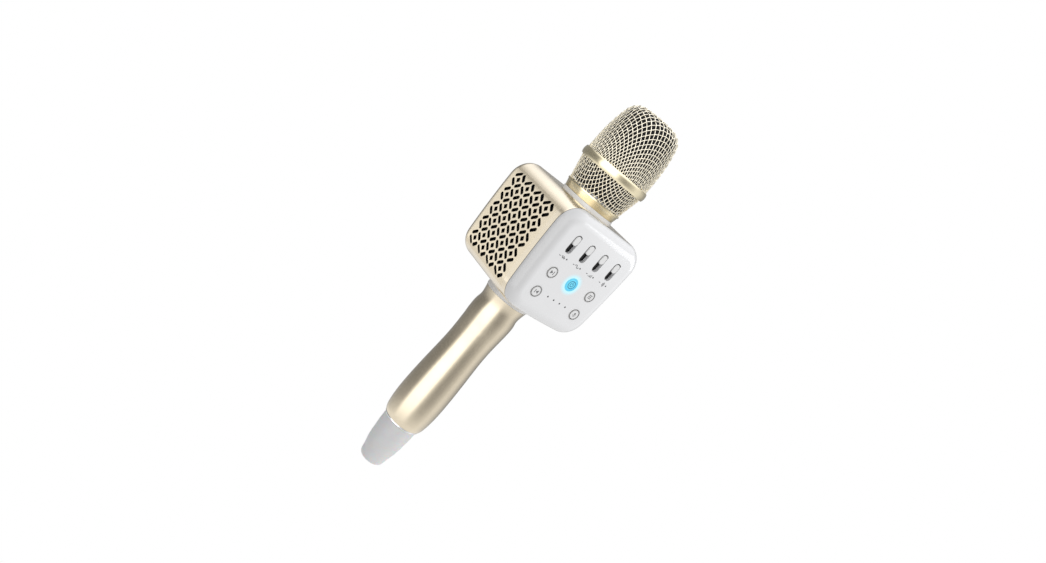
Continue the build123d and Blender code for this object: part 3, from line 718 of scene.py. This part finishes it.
def bar(x0, z0, x1, z1, width):
    """Straight stroke between two points as one quad."""
    dx, dz = x1 - x0, z1 - z0
    length = math.hypot(dx, dz)
    nx, nz = -dz / length * width / 2, dx / length * width / 2
    return [(x0 + nx, z0 + nz), (x0 - nx, z0 - nz), (x1 - nx, z1 - nz), (x1 + nx, z1 + nz)]


INK_DEPTH = 0.08              # thickness of a printed shape, in millimetres
SAME_POINT = 1e-6


def emblem(name, shapes, at, front_y, material, body, depth=INK_DEPTH):
    """Thin raised symbol; shapes are outlines in millimetres about a centre on the front."""
    bm = bmesh.new()
    for outline in shapes:
        rings = []
        for y in (front_y, front_y + depth * MM):
            rings.append([bm.verts.new((at[0] + x * MM, y, at[1] + z * MM)) for x, z in outline])
        front, back = rings
        bm.faces.new(front)
        bm.faces.new(back[::-1])
        for i in range(len(front)):
            k = (i + 1) % len(front)
            bm.faces.new((front[k], front[i], back[i], back[k]))
    bmesh.ops.remove_doubles(bm, verts=bm.verts, dist=SAME_POINT)
    bmesh.ops.recalc_face_normals(bm, faces=bm.faces)
    mesh = bpy.data.meshes.new(name)
    bm.to_mesh(mesh)
    bm.free()
    add_piece(name, mesh, material, body)


INK_PROUD = 0.03 * MM
button_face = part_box("power_button")[0].y
power_at = (POWER.x, POWER.z)
assign([nodes["power_button"]], cyan_disc)
assign([nodes["power_light_ring"]], SLOT_MATERIALS["lit_ring"])
emblem(
    "power_symbol",
    arc_band(0, 0, 0.9, 1.5, 125, 415) + [bar(0, 0.4, 0, 1.95, 0.6)],
    power_at, button_face - INK_PROUD, cyan_dark, "power_button",
)
emblem(
    "power_inner_ring", arc_band(0, 0, 2.3, 2.95), power_at, button_face - INK_PROUD,
    cyan_dark, "power_button",
)

TRIANGLE = [(-0.8, -0.9), (0.6, 0.0), (-0.8, 0.9)]


def shifted(outline, dx, flip=1):
    """An outline moved sideways, and mirrored when flip is -1."""
    return [(flip * x + dx, z) for x, z in outline][::flip]


BUTTON_SYMBOLS = {
    "upper_left": [shifted(TRIANGLE, -0.35), bar(0.75, -0.9, 0.75, 0.9, 0.35)],
    "lower_left": [shifted(TRIANGLE, 0.35, flip=-1), bar(-0.75, -0.9, -0.75, 0.9, 0.35)],
    "upper_right": [bar(-1.0, z, 1.0, z, 0.34) for z in (-0.75, 0.0, 0.75)],
    "lower_right": arc_band(0, 0.45, 0.0, 0.5, parts=16)
    + arc_band(0, 0.3, 0.8, 1.05, 200, 340, parts=14) + [bar(0, -0.6, 0, -1.2, 0.3)],
}
SYMBOL_SCALE = 1.45
for place, shapes in BUTTON_SYMBOLS.items():
    button = f"button_{place}"
    low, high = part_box(button)
    emblem(
        f"symbol_{place}", [[(SYMBOL_SCALE * x, SYMBOL_SCALE * z) for x, z in s] for s in shapes],
        ((low.x + high.x) / 2, (low.z + high.z) / 2), low.y - INK_PROUD, ink, button,
    )

# A ring of painted shade goes round each button, as from a sunk edge, wider on the left
# where the shade is deeper. Its size comes from the button's box, which includes the flange
# behind the panel, so the ring lies just outside the panel's hole and its back cuts a little into
# the panel.
RING_MARGIN = 0.28            # from the flange's edge to the ring, in millimetres
RING_WIDE, RING_NARROW = 0.34, 0.16
RING_DEPTH = 0.5
# grey of the painted shade round the buttons
outline_ink = surface(
    "outline_ink", (0.24, 0.235, 0.225), 0.5, mottle=0.1, mottle_size=0.6, grain=0.002,
)
for place in BUTTON_SYMBOLS:
    button = f"button_{place}"
    low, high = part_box(button)
    outer = (high.x - low.x) / 2 / MM - RING_MARGIN
    emblem(
        f"outline_{place}",
        arc_band(0, 0, outer - RING_WIDE, outer, 80, 270, 26)
        + arc_band(0, 0, outer - RING_NARROW, outer, 270, 440, 26),
        ((low.x + high.x) / 2, (low.z + high.z) / 2), low.y - INK_PROUD, outline_ink,
        button, RING_DEPTH,
    )

# A dark line of painted shadow runs up the left of each slider's slot and over its upper end.
SLOT_HALF_WIDTH = 2.5
SLOT_CENTRE_TO_BEND = 4.0
SLOT_LINE = 0.42
# near-black colour of the painted shadow along the slots
slot_line_ink = surface(
    "slot_line_ink", (0.09, 0.085, 0.08), 0.5, mottle=0.1, mottle_size=0.6, grain=0.002,
)
SLOT_LINE_X = -SLOT_HALF_WIDTH - SLOT_LINE / 2
SLOT_SHADOW_SHAPES = [
    bar(SLOT_LINE_X, -SLOT_CENTRE_TO_BEND, SLOT_LINE_X, SLOT_CENTRE_TO_BEND, SLOT_LINE),
    *arc_band(0, SLOT_CENTRE_TO_BEND, SLOT_HALF_WIDTH, SLOT_HALF_WIDTH + SLOT_LINE, 35, 180, 20),
    *arc_band(0, -SLOT_CENTRE_TO_BEND, SLOT_HALF_WIDTH, SLOT_HALF_WIDTH + SLOT_LINE, 180, 240, 10),
]

MINUS = bar(-4.0, 0, -2.7, 0, 0.45)
PLUS = [bar(2.7, 0, 4.0, 0, 0.45), bar(3.35, -0.65, 3.35, 0.65, 0.45)]
WAVE = [(-1.5, 0), (-0.9, 0.7), (-0.3, -0.7), (0.3, 0.7), (0.9, -0.7), (1.5, 0)]
SLIDER_ICONS = {
    1: [bar(*a, *b, 0.4) for a, b in zip(WAVE, WAVE[1:])],
    2: arc_band(-0.75, 0, 0.52, 0.95, 0, 180, 14) + arc_band(0.75, 0, 0.52, 0.95, 180, 360, 14),
    3: [bar(-1.2 + 0.8 * i, -0.9, -1.2 + 0.8 * i, -0.5 + 0.45 * i, 0.42) for i in range(4)],
    4: [s for r in (0.5, 1.1, 1.7) for s in arc_band(-0.9, 0, r, r + 0.36, -50, 50, 12)],
}
ICON_Z = 194.7 * MM
SLOT_MIDDLE_Z = 204.3 * MM
ICON_SCALE = 1.15
for number, shapes in SLIDER_ICONS.items():
    x = middle(f"slider_knob_{number}").x
    emblem(
        f"slider_icon_{number}",
        [MINUS, *PLUS, *([(ICON_SCALE * x, ICON_SCALE * z) for x, z in s] for s in shapes)],
        (x, ICON_Z), PANEL_FRONT_Y - INK_PROUD, ink, "microphone",
    )
    emblem(
        f"slot_line_{number}", SLOT_SHADOW_SHAPES, (x, SLOT_MIDDLE_Z), PANEL_FRONT_Y - INK_PROUD,
        slot_line_ink, "microphone",
    )


# ---- camera ---------------------------------------------------------------------------

IMAGE_WIDTH = 1046
FOCAL_PIXELS = 850.3
SENSOR = 36.0
camera_data = bpy.data.cameras.new("camera")
camera_data.sensor_fit = "HORIZONTAL"
camera_data.sensor_width = SENSOR
camera_data.lens = FOCAL_PIXELS / IMAGE_WIDTH * SENSOR
camera_data.clip_start = 0.01
camera_data.clip_end = 50
camera = bpy.data.objects.new("camera", camera_data)
bpy.context.scene.collection.objects.link(camera)
CAMERA_PLACE = Vector((-0.3730, -0.3976, 0.2522))
CAMERA_AIM = Vector((0.00067, -0.00063, 0.1609))
CAMERA_ROLL = math.radians(40.70)
look = (CAMERA_AIM - CAMERA_PLACE).to_track_quat("-Z", "Y").to_matrix().to_4x4()
camera.matrix_world = (
    Matrix.Translation(CAMERA_PLACE) @ look @ Matrix.Rotation(CAMERA_ROLL, 4, "Z")
)
bpy.context.scene.camera = camera


# ---- studio ---------------------------------------------------------------------------

def stage_white():
    """White that only the camera sees, and that is clear from below."""
    material = bpy.data.materials.new("studio_white")
    material.use_nodes = True
    tree = material.node_tree
    tree.nodes.clear()
    white = node(tree, "ShaderNodeEmission", {"Color": (1, 1, 1, 1), "Strength": 1.0})
    clear = node(tree, "ShaderNodeBsdfTransparent")
    behind = node(tree, "ShaderNodeNewGeometry").outputs["Backfacing"]
    mixed = node(tree, "ShaderNodeMixShader", {0: behind, 1: white.outputs[0], 2: clear.outputs[0]})
    out = node(tree, "ShaderNodeOutputMaterial")
    tree.links.new(mixed.outputs[0], out.inputs["Surface"])
    return material


def stage_piece(name, bm, material):
    """Floor or backdrop that gives the camera white and leaves the light alone."""
    mesh = bpy.data.meshes.new(name)
    bm.to_mesh(mesh)
    bm.free()
    mesh.materials.append(material)
    thing = bpy.data.objects.new(name, mesh)
    bpy.context.scene.collection.objects.link(thing)
    for ray in ("diffuse", "glossy", "transmission", "volume_scatter", "shadow"):
        setattr(thing, f"visible_{ray}", False)


white_stage = stage_white()
FLOOR_REACH = 3.0
BACKDROP_REACH = 12.0
floor = bmesh.new()
bmesh.ops.create_grid(floor, x_segments=1, y_segments=1, size=FLOOR_REACH)
stage_piece("floor", floor, white_stage)
dome = bmesh.new()
bmesh.ops.create_uvsphere(dome, u_segments=48, v_segments=24, radius=BACKDROP_REACH)
bmesh.ops.reverse_faces(dome, faces=dome.faces)
stage_piece("backdrop", dome, white_stage)

# The light comes from tall soft boxes round the object, given as pairs of the angle to
# the right of the photograph's camera, in degrees, and the brightness there.
LIGHT_ROUND = [
    (-180, 0.34), (-140, 0.30), (-112, 0.27), (-68, 0.30), (-60, 0.42), (-54, 1.2),
    (-48, 2.2), (6, 2.2), (13, 1.2), (21, 0.55), (38, 0.38), (55, 0.46), (72, 0.70),
    (92, 1.02), (108, 0.92), (124, 0.62), (147, 0.34), (180, 0.34),
]
TOP_BOX = 1.9                 # soft box overhead
COOL_TOP = (0.98, 0.995, 1.05)
TABLE_GLOSS = 1.1             # pale table below
SOFT_ROUND = 0.75             # even light on matt surfaces
SOFT_RIGHT = 0.25             # how much brighter it is from the right
SOFT_ABOVE = 0.10             # and from above
BACK = (CAMERA_PLACE - CAMERA_AIM).xy.normalized()
# Height of a direction, as its sine: where each soft box or the table fades in and is full.
TOP_FADES, TOP_FULL = 0.35, 0.75
TABLE_FADES, TABLE_FULL = -0.25, -0.7


def studio_world():
    """Light from all round: brighter and darker strips, a soft box above, a pale floor below."""
    world = bpy.data.worlds.new("studio")
    world.use_nodes = True
    tree = world.node_tree
    background = tree.nodes["Background"]
    way = node(tree, "ShaderNodeTexCoord").outputs["Generated"]
    ahead = node(
        tree, "ShaderNodeVectorMath", {0: way, 1: (BACK.x, BACK.y, 0)}, operation="DOT_PRODUCT",
    ).outputs["Value"]
    right = node(
        tree, "ShaderNodeVectorMath", {0: way, 1: (-BACK.y, BACK.x, 0)}, operation="DOT_PRODUCT",
    ).outputs["Value"]
    turn = math_node(tree, "ARCTAN2", right, ahead)
    share = ramp(tree, turn, -math.pi, math.pi, smooth=False)
    brightest = max(b for _, b in LIGHT_ROUND)
    strips = node(tree, "ShaderNodeValToRGB", {"Fac": share})
    strips.color_ramp.interpolation = "EASE"
    elements = strips.color_ramp.elements
    while len(elements) > 1:
        elements.remove(elements[0])
    for i, (angle, brightness) in enumerate(LIGHT_ROUND):
        position = (angle + 180) / 360
        if i == 0:
            element = elements[0]
            element.position = position
        else:
            element = elements.new(position)
        element.color = (*[brightness / brightest] * 3, 1)
    around = math_node(tree, "MULTIPLY", strips.outputs["Color"], brightest)
    height = node(tree, "ShaderNodeSeparateXYZ", {"Vector": way}).outputs["Z"]
    overhead = ramp(tree, height, TOP_FADES, TOP_FULL)
    below = ramp(tree, height, TABLE_FADES, TABLE_FULL)
    with_top = node(tree, "ShaderNodeMix", {"Factor": overhead, "A": around, "B": TOP_BOX})
    with_floor = node(
        tree, "ShaderNodeMix", {"Factor": below, "A": with_top.outputs[0], "B": TABLE_GLOSS},
    )
    from_right = math_node(tree, "MULTIPLY", right, SOFT_RIGHT)
    from_above = math_node(tree, "MULTIPLY", height, SOFT_ABOVE)
    plain = math_node(tree, "ADD", math_node(tree, "ADD", from_right, from_above), SOFT_ROUND)
    mirrored = node(tree, "ShaderNodeLightPath").outputs["Is Glossy Ray"]
    level = node(
        tree, "ShaderNodeMix", {"Factor": mirrored, "A": plain, "B": with_floor.outputs[0]},
    )
    tree.links.new(level.outputs[0], background.inputs["Strength"])
    world.cycles.sampling_method = "NONE"
    cool = math_node(tree, "MULTIPLY", overhead, mirrored)
    tree.links.new(blend_colour(tree, cool, (1, 1, 1), COOL_TOP), background.inputs["Color"])
    bpy.context.scene.world = world


studio_world()


CARD_COLOUR = (0.97, 0.99, 1.03)


def card(name, place, aim, size, power, lit):
    """Soft rectangular light that lights only the nodes in the list."""
    data = bpy.data.lights.new(name, "AREA")
    data.shape = "RECTANGLE"
    data.size, data.size_y = size
    data.energy = power
    data.color = CARD_COLOUR
    light = bpy.data.objects.new(name, data)
    bpy.context.scene.collection.objects.link(light)
    light.location = place
    light.rotation_euler = (Vector(aim) - Vector(place)).to_track_quat("-Z", "Y").to_euler()
    light.visible_camera = False
    receivers = bpy.data.collections.new(f"{name}_receivers")
    for lit_node in lit:
        receivers.objects.link(nodes[lit_node])
    light.light_linking.receiver_collection = receivers


card(
    "side_card", place=(-0.34, 0.30, 0.13), aim=(-0.038, 0.0, 0.18), size=(0.46, 0.48),
    power=0.64, lit=("side_grille_left", "body_shell", "back_cover"),
)
card(
    "panel_card", place=(0.34, -0.22, 0.30), aim=(0.03, -0.036, 0.19), size=(0.22, 0.22),
    power=0.5, lit=("front_panel",),
)
card(
    "neck_card", place=(-0.28, -0.34, 0.30), aim=(0, 0, 0.225), size=(0.2, 0.2),
    power=0.3, lit=("neck_collar",),
)
bpy.context.scene.view_settings.view_transform = "Standard"
bpy.context.scene.view_settings.look = "None"
